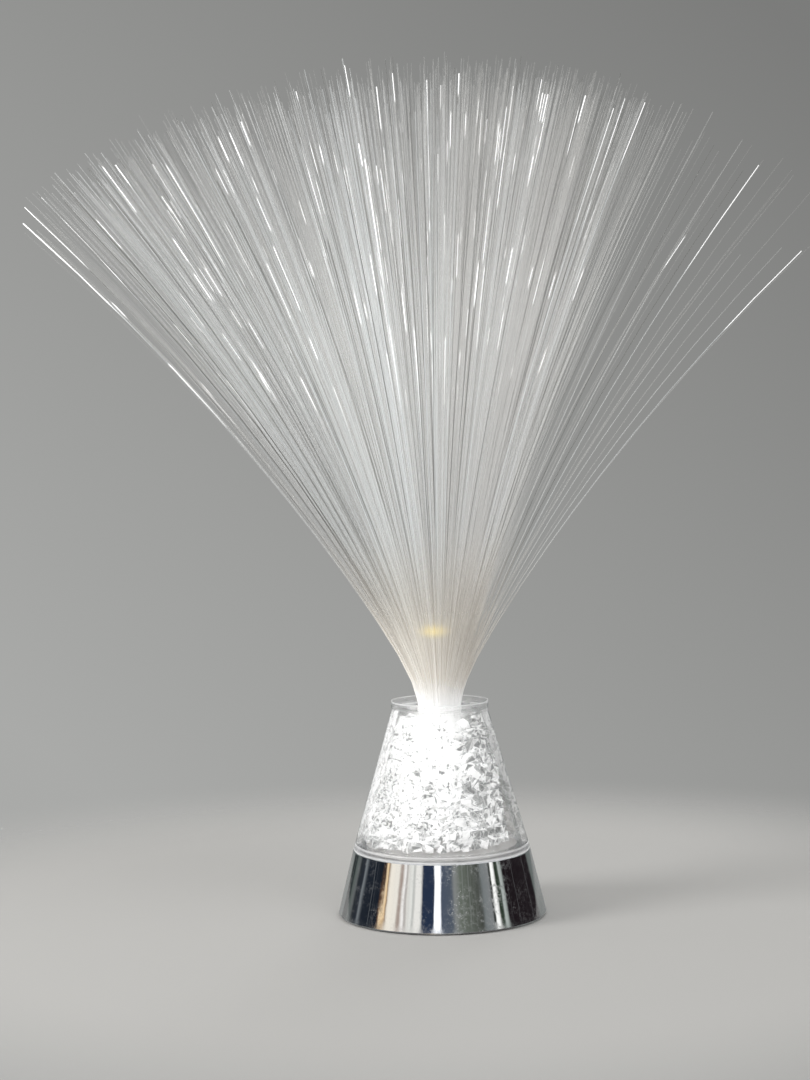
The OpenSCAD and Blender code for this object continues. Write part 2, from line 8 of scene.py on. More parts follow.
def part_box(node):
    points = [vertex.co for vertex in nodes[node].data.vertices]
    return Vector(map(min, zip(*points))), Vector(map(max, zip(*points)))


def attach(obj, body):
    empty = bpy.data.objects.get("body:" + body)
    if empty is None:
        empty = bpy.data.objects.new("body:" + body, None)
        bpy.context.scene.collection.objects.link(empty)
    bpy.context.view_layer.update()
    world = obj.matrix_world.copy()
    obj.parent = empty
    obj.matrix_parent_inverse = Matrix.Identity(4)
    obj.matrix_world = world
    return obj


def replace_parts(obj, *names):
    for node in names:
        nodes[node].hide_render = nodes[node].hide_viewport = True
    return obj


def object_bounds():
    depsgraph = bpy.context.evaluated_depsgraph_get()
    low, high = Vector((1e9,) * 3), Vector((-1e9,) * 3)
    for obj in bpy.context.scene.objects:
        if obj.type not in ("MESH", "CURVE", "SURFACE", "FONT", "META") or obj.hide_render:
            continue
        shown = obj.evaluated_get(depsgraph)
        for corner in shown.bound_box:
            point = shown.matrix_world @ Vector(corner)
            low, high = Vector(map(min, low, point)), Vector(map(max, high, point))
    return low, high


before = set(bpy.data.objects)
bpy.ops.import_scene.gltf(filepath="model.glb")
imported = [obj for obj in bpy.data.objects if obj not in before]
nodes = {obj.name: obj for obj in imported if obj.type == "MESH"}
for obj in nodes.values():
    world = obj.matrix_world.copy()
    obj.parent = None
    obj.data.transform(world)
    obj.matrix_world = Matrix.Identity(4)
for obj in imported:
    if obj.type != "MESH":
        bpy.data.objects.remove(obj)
cad_low, cad_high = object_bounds()
scene = bpy.context.scene

# Places and sizes that the pieces below share, in metres
CAP_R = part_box("top_cap")[1].x
CAP_MIDDLE = (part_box("top_cap")[0].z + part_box("top_cap")[1].z) / 2
CAP_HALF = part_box("top_cap")[1].z - CAP_MIDDLE
EXIT_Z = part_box("fibre_bundle")[1].z        # where the fibres leave the bundle
BUNDLE_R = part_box("fibre_bundle")[1].x
FIBRE_LENGTH = 0.246
NECK_REACH = 0.009                          # length over which a fibre takes up its first lean
NECK_SHARE = 0.61                           # share of the whole lean that it takes up there
WIDEST_LEAN = 47.5                          # degrees from upright, at a fibre's tip
BOX_MARGIN = 0.0004                         # how far the fibres stay inside the CAD box

# The clear cone: its inner side is a straight line from foot to top, and chips fill it to a hub
CONE_FOOT_Z, CONE_FOOT_R = 0.0255, 0.0339
CONE_RISE, CONE_TOP_R = 0.054, 0.0182
CHIP_CLEARANCE = 0.0026
CHIP_HUB_R = 0.0114
CHIP_LAYERS, CHIP_DEPTH, CHIP_WIDTH, CHIP_PUSH = 12, 0.0042, 0.0050, 0.42

# How the fibres are told apart by their lot, a random number from 0 to 1
GLEAMING_LOT = 0.89                         # above this a fibre is thick and gets painted glints
DARK_LOTS = 0.72, 0.79                      # between these it reads as a dark line

WHITE, BLACK = (1.0, 1.0, 1.0), (0.0, 0.0, 0.0)
CLEAR_IOR, CLEAR_TINT = 1.49, (0.985, 0.99, 0.99)


# ---------------------------------------------------------------- camera

CAMERA_PLACE = 0, -0.884, 0.1938
CAMERA_TURN, CAMERA_TIP, CAMERA_ROLL = 0.80, 3.23, 0.86     # degrees
LENS_MM, FILM_MM = 77.33, 36


def set_camera():
    """Stands the camera in front of the lamp, a little above mid height, turned slightly to the
    left, tipped down and rolled."""
    yaw, pitch, roll = (math.radians(a) for a in (CAMERA_TURN, CAMERA_TIP, CAMERA_ROLL))
    ahead = Vector((-math.sin(yaw) * math.cos(pitch), math.cos(yaw) * math.cos(pitch),
                    -math.sin(pitch)))
    right = Vector((math.cos(yaw), math.sin(yaw), 0))
    up = right.cross(ahead)
    x = math.cos(roll) * right - math.sin(roll) * up
    y = math.sin(roll) * right + math.cos(roll) * up
    lens = bpy.data.cameras.new("camera")
    lens.lens, lens.sensor_width, lens.clip_start = LENS_MM, FILM_MM, 0.02
    camera = bpy.data.objects.new("camera", lens)
    turned = Matrix((x, y, -ahead)).transposed().to_4x4()
    camera.matrix_world = Matrix.Translation(CAMERA_PLACE) @ turned
    scene.collection.objects.link(camera)
    scene.camera = camera


set_camera()


# ---------------------------------------------------------------- shader maths

def feed(tree, socket, item):
    """Gives a socket a link where item is a Value or a socket, and a plain value otherwise."""
    if isinstance(item, Value):
        item = item.socket
    if isinstance(item, bpy.types.NodeSocket):
        tree.links.new(item, socket)
    elif socket.type == "RGBA" and len(item) == 3:
        socket.default_value = (*item, 1)
    else:
        socket.default_value = item


class Value:
    """A number socket; Python's operators on it add Math nodes."""

    def __init__(self, tree, socket):
        self.tree, self.socket = tree, socket

    def maths(self, operation, *items, clamp=False):
        node = self.tree.nodes.new("ShaderNodeMath")
        node.operation, node.use_clamp = operation, clamp
        for socket, item in zip(node.inputs, items):
            feed(self.tree, socket, item)
        return Value(self.tree, node.outputs[0])

    def __add__(self, other): return self.maths("ADD", self, other)
    def __radd__(self, other): return self.maths("ADD", other, self)
    def __sub__(self, other): return self.maths("SUBTRACT", self, other)
    def __rsub__(self, other): return self.maths("SUBTRACT", other, self)
    def __mul__(self, other): return self.maths("MULTIPLY", self, other)
    def __rmul__(self, other): return self.maths("MULTIPLY", other, self)
    def __truediv__(self, other): return self.maths("DIVIDE", self, other)
    def __pow__(self, other): return self.maths("POWER", self, other)
    def __gt__(self, other): return self.maths("GREATER_THAN", self, other)
    def __lt__(self, other): return self.maths("LESS_THAN", self, other)
    def __abs__(self): return self.maths("ABSOLUTE", self)
    def most(self, other): return self.maths("MAXIMUM", self, other)
    def least(self, other): return self.maths("MINIMUM", self, other)
    def clamped(self): return self.maths("ADD", self, 0.0, clamp=True)

    def step(self, low, high):
        """0 below low, 1 above high and a smooth rise between; low may be the greater."""
        node = self.tree.nodes.new("ShaderNodeMapRange")
        node.interpolation_type = "SMOOTHSTEP"
        sign = 1.0 if high > low else -1.0
        for socket, item in zip(node.inputs, (self * sign, low * sign, high * sign, 0.0, 1.0)):
            feed(self.tree, socket, item)
        return Value(self.tree, node.outputs[0])


class Finish:
    """The node tree of one finish. node() adds any node: settings first, then its sockets."""

    def __init__(self, name, tree=None):
        if tree is None:
            self.material = bpy.data.materials.new(name)
            self.material.use_nodes = True
            tree = self.material.node_tree
        self.tree = tree
        tree.nodes.clear()

    def node(self, kind, settings=(), sockets=()):
        made = self.tree.nodes.new("ShaderNode" + kind)
        for key, item in dict(settings).items():
            if key == "stops":
                ramp = made.color_ramp.elements
                while len(ramp) < len(item):
                    ramp.new(0.5)
                for element, (place, colour) in zip(ramp, item):
                    element.position, element.color = place, (*colour, 1)
            else:
                setattr(made, key, item)
        for key, item in dict(sockets).items():
            feed(self.tree, made.inputs[key], item)
        return made

    def value(self, node, output=0):
        return Value(self.tree, node.outputs[output])

    def place(self):
        """The point on the piece, in the lamp's own metres."""
        return self.node("TexCoord").outputs["Object"]

    def axes(self, vector):
        split = self.node("SeparateXYZ", sockets={0: vector})
        return [self.value(split, i) for i in range(3)]

    def join(self, x, y, z=0.0):
        return self.node("CombineXYZ", sockets={0: x, 1: y, 2: z}).outputs[0]

    def stretched(self, vector, scale):
        return self.node("Mapping", sockets={"Vector": vector, "Scale": scale}).outputs[0]

    def kept(self, name):
        """A number that the piece's points carry."""
        return self.value(self.node("Attribute", {"attribute_name": name}), "Fac")

    def noise(self, vector, scale, detail=2.0, rough=0.5):
        return self.value(self.node("TexNoise", sockets={
            "Vector": vector, "Scale": scale, "Detail": detail, "Roughness": rough}), "Fac")

    def cells(self, vector, scale, feature="F1", output="Distance"):
        return self.value(self.node("TexVoronoi", {"feature": feature}, {
            "Vector": vector, "Scale": scale}), output)

    def blend(self, factor, a, b):
        """Colour a turned to colour b by factor."""
        mix = self.node("Mix", {"data_type": "RGBA"}, {0: factor, 6: a, 7: b})
        return mix.outputs[2]

    def dents(self, height, distance, strength=1.0):
        return self.node("Bump", sockets={
            "Height": height, "Distance": distance, "Strength": strength}).outputs[0]

    def surface(self, **sockets):
        """Ends the tree in a Principled shader; an underscore in a name stands for a space."""
        names = {key.replace("_", " "): item for key, item in sockets.items()}
        shader = self.node("BsdfPrincipled", sockets=names)
        self.node("OutputMaterial", sockets={0: shader.outputs[0]})
        return self.material


def dress(node, finish):
    """Gives a carried-over solid its finish."""
    for slot in nodes[node].material_slots:
        slot.material = finish


# ---------------------------------------------------------------- surfaces

def piece(name, points, quads, finish, body="lamp", smooth=True, numbers=(), tris=None):
    """Puts arrays of points and of four- or three-sided faces into a mesh that rides on a body."""
    mesh = bpy.data.meshes.new(name)
    sides = [(quads, 4)] if tris is None else [(quads, 4), (tris, 3)]
    corners = np.concatenate([f.reshape(-1) for f, _ in sides]).astype(np.int32)
    totals = np.concatenate([np.full(len(f.reshape(-1, k)), k) for f, k in sides]).astype(np.int32)
    mesh.vertices.add(len(points))
    mesh.vertices.foreach_set("co", points.astype(np.float32).reshape(-1))
    mesh.loops.add(len(corners))
    mesh.loops.foreach_set("vertex_index", corners)
    mesh.polygons.add(len(totals))
    starts = np.concatenate(([0], np.cumsum(totals)[:-1]))
    mesh.polygons.foreach_set("loop_start", starts.astype(np.int32))
    mesh.update(calc_edges=True)
    mesh.polygons.foreach_set("use_smooth", np.full(len(totals), smooth))
    for key, values in dict(numbers).items():
        kept = mesh.attributes.new(key, "FLOAT", "POINT")
        kept.data.foreach_set("value", values.astype(np.float32))
    mesh.materials.append(finish)
    made = bpy.data.objects.new(name, mesh)
    scene.collection.objects.link(made)
    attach(made, body)
    return made


def tubes(paths, radii, sides):
    """Points and faces of many tubes at once. Each station of a path carries a ring of points
    at equal angles in the plane square to the path, and both ends close on a cap."""
    count, stations = paths.shape[:2]
    along = np.gradient(paths, axis=1)
    along /= np.linalg.norm(along, axis=2, keepdims=True)
    across = np.cross(along, [1.31, 0.17, 0.05])        # no fibre runs along this direction
    across /= np.linalg.norm(across, axis=2, keepdims=True)
    third = np.cross(along, across)
    turn = np.linspace(0, 2 * np.pi, sides, endpoint=False)
    ring = (np.cos(turn)[:, None] * across[:, :, None, :]
            + np.sin(turn)[:, None] * third[:, :, None, :])
    points = paths[:, :, None, :] + ring * radii[:, :, None, None]
    index = np.arange(count * stations * sides).reshape(count, stations, sides)
    low, high = index[:, :-1], index[:, 1:]
    quads = np.stack([low, np.roll(low, -1, 2), np.roll(high, -1, 2), high], axis=-1)
    quads = quads.reshape(-1, 4)
    cap = np.stack([np.zeros(sides - 2, int), np.arange(1, sides - 1), np.arange(2, sides)], 1)
    ends = np.concatenate([index[:, 0][:, cap[:, ::-1]].reshape(-1, 3),
                           index[:, -1][:, cap].reshape(-1, 3)])
    return points.reshape(-1, 3), quads, ends


# ---------------------------------------------------------------- finishes

def chrome_finish():
    """Bright plating: mirror smooth with a slow ripple, a dusty streak near the middle of the
    front, a hazy stretch with wipe marks to the right of it, and a foot that is worn dull."""
    dusty_x, hazy_x, plating, dusted = 0.0052, 0.0165, (0.84, 0.85, 0.87), (0.70, 0.71, 0.70)
    f = Finish("chrome plating")
    spot = f.place()
    x, y, z = f.axes(spot)
    dusty = abs(x - dusty_x).step(0.0052, 0.0010) * (y < 0) * 0.80 + 0.20
    hazy = abs(x - hazy_x).step(0.0105, 0.0065) * (y < 0)
    patch = f.noise(spot, 150.0, 3.0)
    dust = f.cells(spot, 1050.0).step(0.24, 0.08) * patch.step(0.46, 0.58) * dusty
    smear = f.noise(f.stretched(spot, (1, 1, 0.12)), 160.0, 4.0, 0.6)
    mottle = f.noise(spot, 620.0, 4.0, 0.7).step(0.46, 0.64) * patch.step(0.36, 0.62)
    mottle = mottle * (dusty * 0.8 + 0.15 + hazy * 0.3)
    foot = z.step(0.0042, 0.0012)
    dull = dust * 0.42 + smear.step(0.50, 0.75) * (hazy * 0.12 + 0.05) + mottle * 0.26
    dull = (dull + foot * 0.10 + 0.035).clamped()
    ripple = f.noise(f.stretched(spot, (1, 1, 0.35)), 46.0, 2.0)
    ripple = ripple + f.noise(spot, 150.0, 2.0) * 0.10
    return f.surface(Base_Color=f.blend((dust * 0.75 + mottle * 0.10).clamped(), plating, dusted),
                     Metallic=(1 - dust * 0.6 - mottle * 0.16).clamped(), Roughness=dull,
                     Normal=f.dents(ripple + dust * 0.02, 0.0006, 0.30))


def clear_finish(name, rough, edge=None):
    """Clear moulded plastic with a faint haze and the soft waves of a moulded wall, more solid
    where it is seen edge on. edge gives the share of the surface that is painted light: a white
    surface with a faint painted glow in place of the clear wall."""
    f = Finish(name)
    spot = f.place()
    waves = f.noise(spot, 55.0, 2.0)
    haze = f.noise(spot, 260.0, 4.0, 0.6).step(0.5, 0.85)
    normal = f.dents(waves, 0.0004, 0.25)
    facing = f.value(f.node("LayerWeight", sockets={"Blend": 0.5}), 1)
    wall = f.node("BsdfPrincipled", sockets={
        "Base Color": f.blend(haze * 0.35, CLEAR_TINT, (0.90, 0.91, 0.92)),
        "Roughness": haze * 0.04 + rough, "Transmission Weight": 1.0, "IOR": CLEAR_IOR,
        "Alpha": (facing ** 4.0 * 0.85 + 0.13).clamped(), "Normal": normal})
    # Painted light: a white surface with a faint glow, mixed in where edge says
    lit_edge = f.node("BsdfPrincipled", sockets={
        "Base Color": (0.97, 0.97, 0.98), "Roughness": 0.12, "Emission Color": (0.2, 0.2, 0.2),
        "Emission Strength": 1.0, "Normal": normal})
    mix = f.node("MixShader", sockets={
        0: edge(f) if edge else 0.0, 1: wall.outputs[0], 2: lit_edge.outputs[0]})
    f.node("OutputMaterial", sockets={0: mix.outputs[0]})
    return f.material


def cone_edge(f):
    """Where the clear cone gets painted light: a painted glow on the band at its foot, brightest at
    its two rims, and on the slanting sides a painted white broken edge that stands in for the chips
    seen close behind the wall, high up on both sides and lower down on the window's side only."""
    band_top, groove_z, slope, outer = 0.02795, 0.0266, 0.2907, 0.0408
    spot = f.place()
    x, y, z = f.axes(spot)
    radius = (x * x + y * y) ** 0.5
    # Painted glow on the band at the foot, stronger at its two rims; worn only varies its strength
    # in patches
    band = z.step(band_top, band_top - 0.00055) * radius.step(0.0312, 0.0326)
    rims = abs(z - groove_z).step(0.0001, 0.0010)
    worn = f.noise(spot, 210.0, 2.0)
    facing = f.value(f.node("LayerWeight", sockets={"Blend": 0.5}), 1)
    broken = f.noise(spot, 260.0, 3.0, 0.6)
    # Painted white broken edge on the slanting sides, standing in for the chips seen close behind
    # the wall
    outside = (radius + z * slope).step(outer - 0.0006, outer) * z.step(0.030, 0.032)
    reach = z + (broken - 0.5) * 0.02 - x.step(-0.004, 0.004) * 0.022
    window_side = x.step(0.0, -0.006)
    near = (facing + (broken - 0.5) * 0.14).step(0.47, 0.53)
    near = near * (facing - window_side * 0.06).step(0.86, 0.80)
    white = broken.step(0.42, 0.56) * (window_side * 0.35 + 0.30) + window_side * 0.12 + 0.03
    sides = outside * near * reach.step(0.031, 0.040) * white
    return (band * (rims * 0.30 + 0.06 + worn * 0.24)).most(sides)


def cap_edge(f):
    """The cap's painted light: a faint milkiness that stands in for the glow of the fibres caught
    in it, and painted highlights on its rims.
    """
    spot = f.place()
    x, y, z = f.axes(spot)
    outer = ((x * x + y * y) ** 0.5).step(CAP_R - 0.0007, CAP_R - 0.0001)
    rims = outer * abs(z - CAP_MIDDLE).step(CAP_HALF - 0.0007, CAP_HALF)
    # Painted glow in faint patches and painted highlights on the rims
    return f.noise(spot, 330.0, 3.0).step(0.35, 0.7) * 0.08 + rims * 0.55


def ice_finish():
    """Broken clear chips with crisp faces and painted light. Each face is either painted lit white,
    with a painted glow, or painted the grey of the room as if seen through it. On the window's side
    and round the lit middle most are painted lit, with fine dark flecks; on the far side and low
    down, in painted shade, more are painted clear, with painted white highlights on their rims and
    coarse flecks."""
    # Painted light: clear is the grey room painted as if seen through a face, lit_white a lit face
    # and glow the painted glow of a lit face
    clear, lit_white, glow = (0.36, 0.37, 0.37), (0.95, 0.95, 0.95), (0.42, 0.42, 0.42)
    f = Finish("ice chips")
    spot = f.place()
    x, _, z = f.axes(spot)
    u, v, _ = f.axes(f.node("TexCoord").outputs["UV"])
    # Painted highlight along the edges of each face
    rim = u.least(v).least(1 - u - v).step(0.05, 0.015)
    milk = f.noise(spot, 300.0, 3.0, 0.6)
    # Painted shade: fewer faces lit on the far side from the window light and low down
    far = (x + (milk - 0.5) * 0.012).step(0.001, 0.012).most(z.step(0.038, 0.029) * 0.55)
    fine = f.noise(spot, 820.0, 2.0).step(0.48, 0.62)
    coarse = f.noise(spot, 340.0, 1.0).step(0.46, 0.56)
    flecks = fine + (coarse - fine) * far
    # Painted light high up, round the tube and on the window's side
    lit_column = abs(x + 0.001).step(0.009, 0.002) * 0.7 + x.step(0.001, -0.006)
    lit_column = lit_column * z.step(0.050, 0.072)
    # How much painted light each face gets, less the dark flecks
    lit = f.kept("face_tone") + (0.19 - far * 0.29) - flecks * (0.56 - far * 0.22) + lit_column * 0.16
    lit = (lit.step(0.05, 0.65) + rim * (far * 0.5 + 0.1)).clamped()
    return f.surface(Base_Color=f.blend(lit, clear, lit_white), Roughness=milk * 0.08 + 0.02,
                     Transmission_Weight=0.12, IOR=CLEAR_IOR, Emission_Strength=1.0,
                     Emission_Color=f.blend(lit * (far * 0.25 + 0.75), BLACK, glow),
                     Normal=f.dents(milk, 0.0004, 0.35))


def fibre_finish():
    """Thin clear fibre. Each fibre has its own tone, partly painted sheen; some get painted glints
    in short gleams towards their tips, some read as dark lines, and all close up to warm white
    where they crowd together at the neck, with painted shade on the neck's side away from the
    window light and a small painted yellow spot of light there. A painted glow stands in for light
    through
    the fan: it is strongest where the fibres crowd and near the root, and the neck's foot is
    painted white. Strays get a painted highlight near the tip only."""
    dull_tone, bright_tone = (0.67, 0.662, 0.645), (0.89, 0.92, 0.935)
    dark_tone = (0.24, 0.24, 0.23)
    cream_low, cream_high, umber = (0.86, 0.82, 0.76), (0.99, 0.96, 0.90), (0.36, 0.31, 0.26)
    shaded, yellow = (0.58, 0.545, 0.50), (1.0, 0.90, 0.58)
    spot_x, spot_rise, spot_r = -0.0018, 0.0315, 0.0078
    f = Finish("drawn fibre")
    x, _, z = f.axes(f.place())
    along, lot, bright = f.kept("along"), f.kept("lot"), f.kept("bright")
    # Painted glints: short white gleams towards the tips of the thick fibres, and near the tips of
    # the shining strays
    gleam_map = f.noise(f.join(along * 7.0, lot * 517.0, 3.3), 1.0, 1.0)
    gleam = (gleam_map + bright * 0.12).step(0.66, 0.71) * along.step(0.40, 0.72)
    gleam = gleam * (lot > GLEAMING_LOT)
    stray = bright.step(0.93, 0.97)
    gleam = (gleam + stray * along.step(0.74, 0.86) * gleam_map.step(0.38, 0.48)).clamped()
    neck = z.step(EXIT_Z + 0.055, EXIT_Z + 0.008)
    dark = (lot > DARK_LOTS[0]) * (lot < DARK_LOTS[1]) * (1 - gleam) * (1 - neck * 0.6)
    # Painted glow: the foot of the fan is painted white
    foot = z.step(EXIT_Z + 0.014, EXIT_Z + 0.001)
    warm = z.step(EXIT_Z + 0.075, EXIT_Z + 0.022)
    body = f.blend(bright, dull_tone, bright_tone)
    body = f.blend(dark, body, dark_tone)
    cream = f.noise(f.join(lot * 91.0, along * 6.0), 1.0).step(0.3, 0.7)
    body = f.blend(warm * 0.85, body, f.blend(cream, cream_low, cream_high))
    body = f.blend(dark * warm * 0.45, body, umber)
    # Painted shade on the neck's side away from the window light
    body = f.blend(x.step(-0.002, 0.014) * warm * 0.52, body, shaded)
    # A painted yellow spot of light on the neck
    rise, across = z - (EXIT_Z + spot_rise), x - spot_x
    painted_yellow_spot = ((across * across + rise * rise * 4.5) ** 0.5).step(spot_r, 0.0)
    body = f.blend(painted_yellow_spot * 0.78, body, yellow)
    body = f.blend(foot, body, WHITE)
    body = f.blend(gleam, body, WHITE)
    seen = bright * (1 - stray * along.step(0.86, 0.66) * 0.85)
    solid = (seen * 0.42 + dark * 0.42 + 0.16) * (1 - along.step(0.60, 1.0) * 0.46)
    # Painted glow that stands in for light through the fan: where the fibres crowd, less at the far
    # left, and near the root, less on the side away from the window light
    side = x / (z - (EXIT_Z - 0.01))
    crowd = along.step(0.97, 0.60) * along.step(0.03, 0.34) * (1 - side.step(-0.20, -0.48) * 0.75)
    low = z.step(EXIT_Z + 0.050, EXIT_Z + 0.002) * (1 - x.step(-0.014, 0.014) * 0.50)
    glow = gleam * 0.70 + crowd * 0.28 + low * 0.31 + painted_yellow_spot * 0.12 + 0.05
    return f.surface(Base_Color=body, Roughness=0.28, Alpha=solid.most(neck).most(gleam),
                     IOR=CLEAR_IOR, Emission_Color=f.blend(glow.clamped(), BLACK, body),
                     Emission_Strength=0.75)


def bundle_finish():
    """Packed fibre ends and sides: fine upright lines, each of its own tone, with a painted glow.
    """
    per_metre, gap_colour = 1900.0, (0.6, 0.6, 0.58)
    f = Finish("packed fibres")
    lines = f.stretched(f.place(), (1, 1, 0.02))
    grain = f.cells(lines, per_metre, "F1", "Color")
    edge = f.cells(lines, per_metre, "DISTANCE_TO_EDGE")
    tone = f.value(f.node("RGBToBW", sockets={0: grain.socket}))
    colour = f.blend(tone, (0.90, 0.90, 0.88), WHITE)
    return f.surface(Base_Color=f.blend(edge.step(0.08, 0.0) * 0.3, colour, gap_colour),
                     Roughness=0.22, Coat_Weight=0.5, Emission_Strength=1.0,
                     Emission_Color=f.blend(tone, (0.3, 0.3, 0.3), (0.5, 0.5, 0.5)),
                     Normal=f.dents(edge, 0.0002, 0.6))


def moulded_finish(name, colour, rough, grain=900.0, depth=0.00004):
    """Moulded plastic: its colour drifts slightly and its skin has a fine even grain."""
    f = Finish(name)
    spot = f.place()
    drift = f.noise(spot, 38.0, 3.0)
    skin = f.noise(spot, grain, 2.0, 0.6)
    lighter = tuple(min(1.0, c * 1.18 + 0.008) for c in colour)
    return f.surface(Base_Color=f.blend(drift.step(0.35, 0.7), colour, lighter),
                     Roughness=skin * 0.16 + (rough - 0.08), Normal=f.dents(skin, depth, 0.8))


def metal_finish(name, colour, rough):
    """Plated metal with fine scratches and cloudy spots."""
    f = Finish(name)
    spot = f.place()
    lines = f.noise(spot, 700.0, 3.0, 0.7)
    spots = f.noise(spot, 120.0, 2.0)
    darker = tuple(c * 0.82 for c in colour)
    return f.surface(Base_Color=f.blend(spots.step(0.4, 0.75) * 0.5, colour, darker),
                     Metallic=1.0, Roughness=lines * 0.22 + (rough - 0.1),
                     Normal=f.dents(lines, 0.00003, 0.6))


def board_finish():
    """Green solder mask over copper runs, with bare tinned pads."""
    f = Finish("circuit board")
    flat = f.stretched(f.place(), (1, 1, 0))
    run = f.cells(flat, 330.0, "DISTANCE_TO_EDGE").step(0.07, 0.10)
    pad = f.cells(flat, 260.0).step(0.16, 0.13)
    mask = f.blend(run, (0.012, 0.16, 0.06), (0.018, 0.25, 0.10))
    return f.surface(Base_Color=f.blend(pad, mask, (0.75, 0.75, 0.72)), Metallic=pad,
                     Roughness=0.34, Normal=f.dents(run + pad, 0.00003, 0.7))


def lens_finish(name, colour):
    """Tinted clear casting with patches of haze."""
    f = Finish(name)
    spot = f.place()
    haze = f.noise(spot, 420.0, 2.0)
    paler = tuple(c * 0.6 + 0.4 for c in colour)
    return f.surface(Base_Color=f.blend(haze.step(0.4, 0.8) * 0.4, colour, paler),
                     Roughness=haze * 0.1 + 0.04, Transmission_Weight=0.7, IOR=1.5)


def cell_finish():
    """A cell: a glossy dark sleeve with a copper band, shrunk over the edge of bare metal ends."""
    sleeve_end, band_from = 0.0231, 0.0125
    sleeve, copper, bare = (0.035, 0.045, 0.06), (0.42, 0.24, 0.07), (0.70, 0.69, 0.66)
    f = Finish("cell sleeve")
    spot = f.place()
    x = f.axes(spot)[0]
    end = abs(x).step(sleeve_end - 0.0003, sleeve_end)
    band = (x > band_from) * (1 - end)
    folds = f.noise(f.stretched(spot, (0.3, 1, 1)), 210.0, 3.0)
    return f.surface(Base_Color=f.blend(end, f.blend(band, sleeve, copper), bare), Metallic=end,
                     Roughness=folds * 0.12 + 0.18, Coat_Weight=(1 - end) * 0.6,
                     Normal=f.dents(folds + end, 0.00005, 0.6))


def resistor_finish():
    """A small fired body, dark and finely speckled."""
    f = Finish("resistor bodies")
    speck = f.noise(f.place(), 1500.0, 2.0)
    return f.surface(Base_Color=f.blend(speck, (0.05, 0.05, 0.055), (0.10, 0.10, 0.10)),
                     Roughness=speck * 0.2 + 0.3, Normal=f.dents(speck, 0.00002, 0.6))


# ---------------------------------------------------------------- fibres

def fibre_paths(root_r, root_turn, lean, tip_turn, length, drift, stations):
    """Centre lines. A fibre leaves the neck upright, takes up the first part of its lean within a
    centimetre or two, as one less an exponential of the way along, and the rest slowly on the way
    to its tip, nearly in proportion. Its place is the running sum of small steps along that lean,
    four to each station kept, and a sideways drift grows as the square of the way along."""
    fine, crowding, sunk = 4, 1.8, 0.0015
    t = np.linspace(0, 1, fine * (stations - 1) + 1) ** crowding
    way = t * length[:, None]
    early = NECK_SHARE * (1 - np.exp(-way / NECK_REACH))
    slope = lean[:, None] * (early + (1 - NECK_SHARE) * t ** 0.8)
    middle, step = (slope[:, 1:] + slope[:, :-1]) / 2, np.diff(way, axis=1)
    start = np.zeros((len(length), 1))
    out = np.concatenate([start, np.cumsum(step * np.sin(middle), 1)], 1)[:, ::fine]
    rise = np.concatenate([start, np.cumsum(step * np.cos(middle), 1)], 1)[:, ::fine]
    x = root_r[:, None] * np.cos(root_turn)[:, None] + out * np.cos(tip_turn)[:, None]
    y = root_r[:, None] * np.sin(root_turn)[:, None] + out * np.sin(tip_turn)[:, None]
    share = t[::fine]
    path = np.stack([x, y, EXIT_Z + rise], axis=-1)
    path += drift[:, None, :] * (share ** 2)[None, :, None]
    root = path[:, :1].copy()
    root[:, 0, 2] = EXIT_Z - sunk
    return np.concatenate([root, path], axis=1), np.concatenate([[0.0], share])


def strands(name, root_r, turn, lean, tip_turn, length, drift, thick, bright, pick, finish,
            stations=12):
    """Makes the fibres as three-sided tubes that thin towards the tip. A length is divided by how
    far its tip passes the lamp's own box, three times over, until each fibre ends inside."""
    limit = np.array([cad_high.x, cad_high.y]) - BOX_MARGIN
    for _ in range(3):
        path, share = fibre_paths(root_r, turn, lean, tip_turn, length, drift, stations)
        reach = np.abs(path[:, -1, :2]) / limit
        rise = (path[:, :, 2].max(1) - EXIT_Z) / (cad_high.z - BOX_MARGIN - EXIT_Z)
        length = length / np.maximum(1.0, np.maximum(reach.max(1), rise))
    count, total = path.shape[:2]
    lot = pick.random(count)
    sides, thicker, taper = 3, 0.6, 0.14
    radius = thick * (1 + thicker * (lot > GLEAMING_LOT))
    points, quads, ends = tubes(path, radius[:, None] * (1 - taper * share), sides)
    spread = lambda values: np.broadcast_to(values, (count, total, sides)).reshape(-1)
    made = piece(name, points, quads, finish, tris=ends, numbers={
        "along": spread(share[None, :, None]), "lot": spread(lot[:, None, None]),
        "bright": spread(bright[:, None, None])})
    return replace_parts(made, "fibre_spray")


